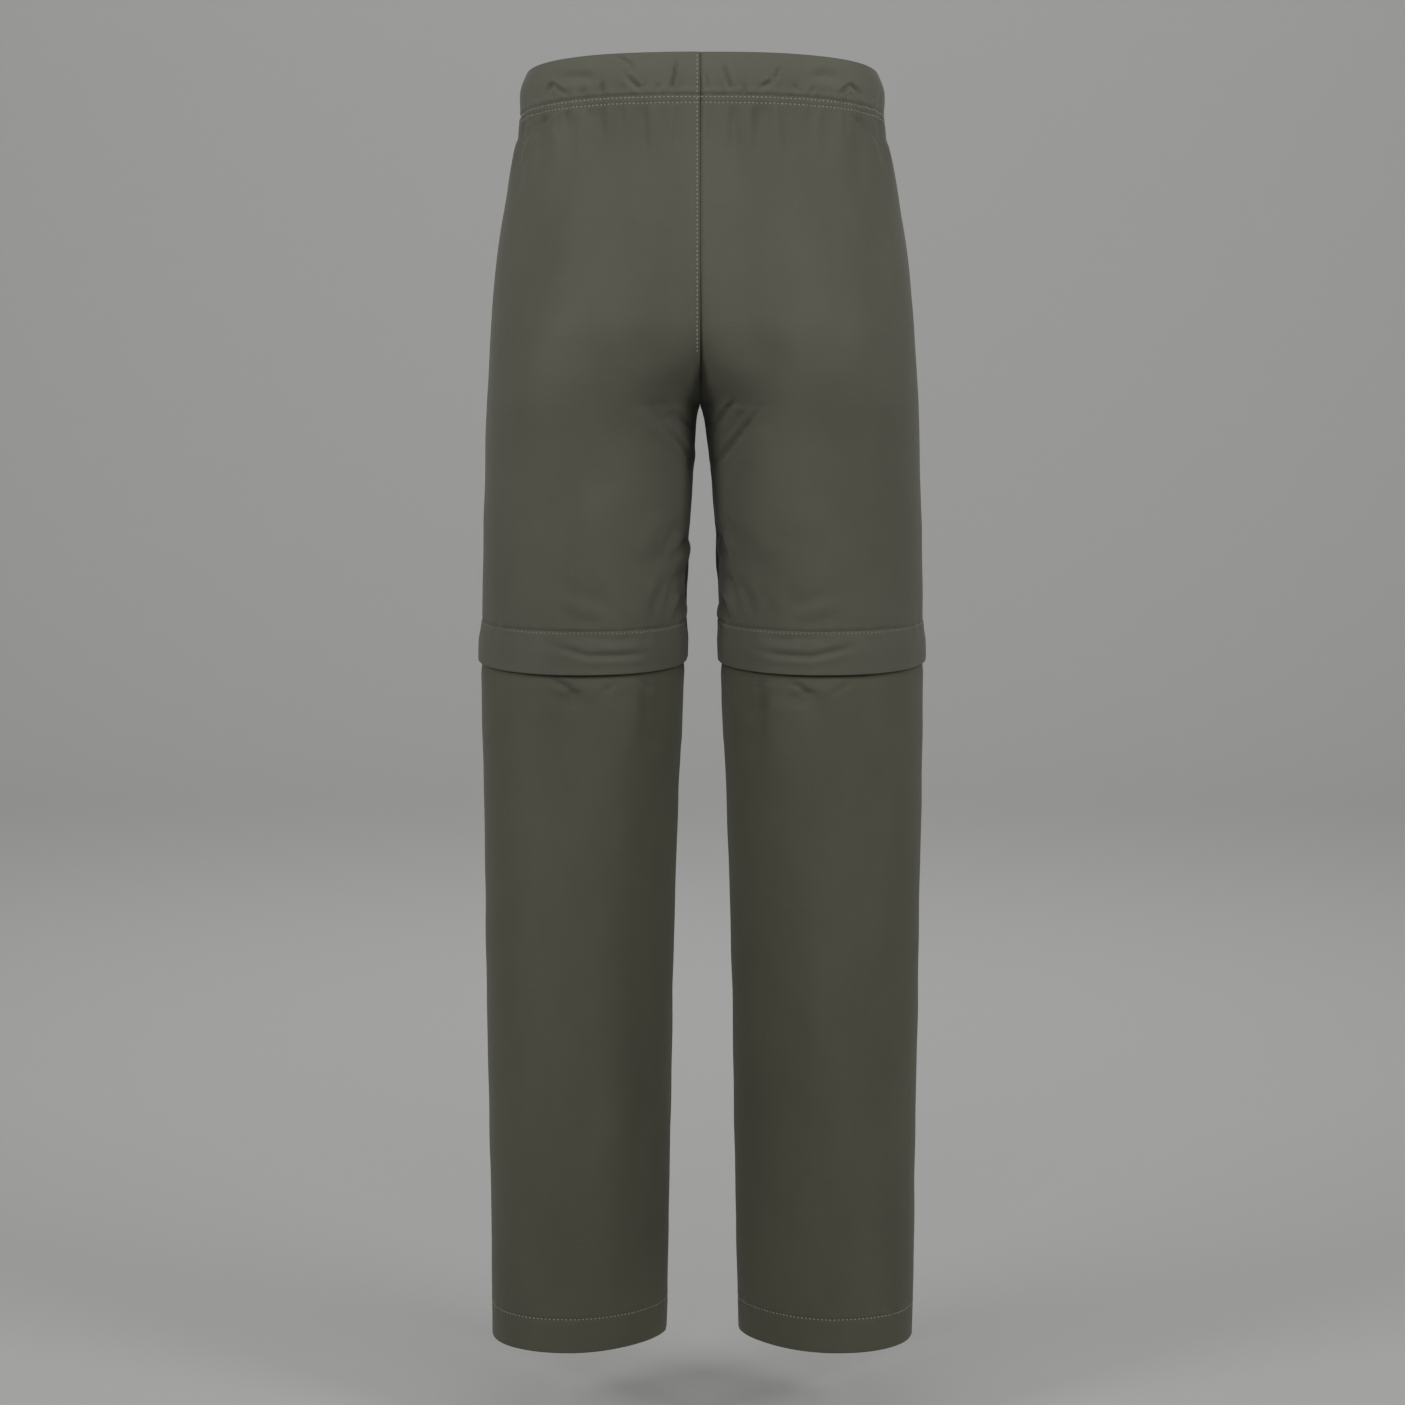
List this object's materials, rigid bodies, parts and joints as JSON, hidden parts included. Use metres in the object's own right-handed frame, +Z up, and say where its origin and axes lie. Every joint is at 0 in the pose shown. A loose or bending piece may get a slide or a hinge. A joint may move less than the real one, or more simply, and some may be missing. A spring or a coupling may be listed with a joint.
{
  "type": "convertible zip-off trousers",
  "caption": "Elastic-waist trousers whose lower legs zip off above the knee under a stitched flap, filled out as if worn, with straight legs and plain hems.",
  "frame": {"origin": "centre of the waist, at the height of the stitching under the waistband at the centre back, where the wearer's waist holds the garment", "axes": "+Z up the body, -Y the wearer's front, +X the wearer's left, so the back faces +Y"},
  "size_m": [0.3568, 0.2284, 1.0228],
  "materials": {
    "upper_cloth": "matte plain-weave nylon, grey green",
    "waistband_cloth": "the same cloth over elastic",
    "flap_cloth": "the same cloth, doubled",
    "lower_cloth": "the same cloth",
    "zip_tape": "woven tape with a coil chain",
    "pull_tape": "folded woven tape",
    "zip_slider": "satin enamel"
  },
  "bodies": {
    "root": {"waistband_left": "waistband_cloth", "waistband_right": "waistband_cloth", "back_left": "upper_cloth", "back_right": "upper_cloth", "front_left": "upper_cloth", "front_right": "upper_cloth", "knee_flap_left": "flap_cloth", "knee_flap_right": "flap_cloth", "knee_zip_left": "zip_tape", "knee_zip_right": "zip_tape", "zip_slider_left": "zip_slider", "zip_slider_right": "zip_slider", "zip_pull_left": "pull_tape", "zip_pull_right": "pull_tape", "lower_back_left": "lower_cloth", "lower_back_right": "lower_cloth", "lower_front_left": "lower_cloth", "lower_front_right": "lower_cloth"}
  },
  "joints": []
}
